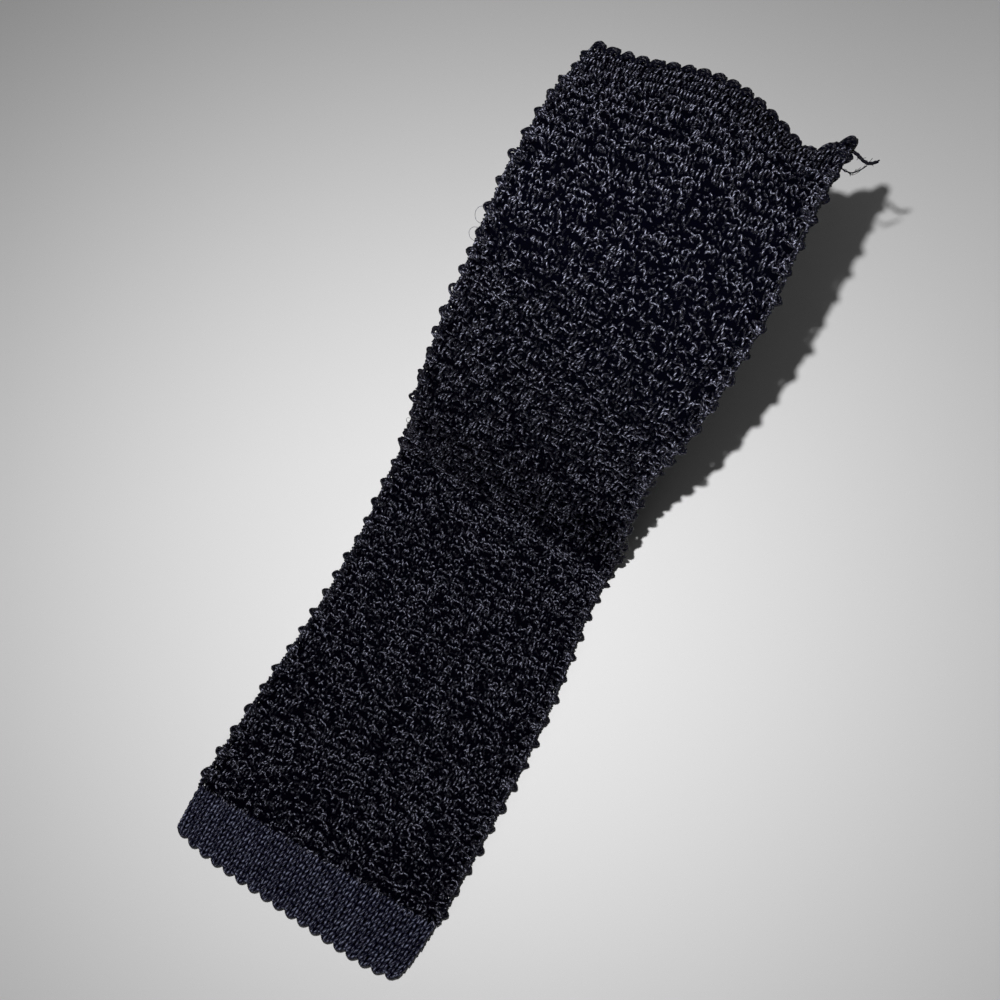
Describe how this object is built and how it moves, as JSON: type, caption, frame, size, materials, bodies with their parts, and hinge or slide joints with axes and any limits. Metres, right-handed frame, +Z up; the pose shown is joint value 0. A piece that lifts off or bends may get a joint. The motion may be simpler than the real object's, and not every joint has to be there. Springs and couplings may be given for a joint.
{
  "type": "knit tie",
  "caption": "Square-ended strip of a thick silk knit tie, with a ribbed welt, looped side edges and a cast-off top edge, lying with its far end raised.",
  "frame": {"origin": "under the middle of the whole strip's box, on the surface that it rests on", "axes": "+Y along the strip from its welt to its raised end, +X to its right seen from above with the raised end away, +Z up"},
  "size_m": [0.0762, 0.1768, 0.0799],
  "materials": {
    "welt_knit": "ribbed silk knit, dark navy, soft sheen",
    "blade_knit": "tuck-stitch silk knit, near-black navy, soft sheen on the yarns",
    "edge_knit": "chained silk yarn, near-black navy, soft sheen",
    "loose_yarn": "twisted silk plies, near-black navy"
  },
  "bodies": {
    "root": {"welt": "welt_knit", "blade": "blade_knit", "cast_off_edge": "edge_knit", "yarn_tail": "loose_yarn"}
  },
  "joints": []
}
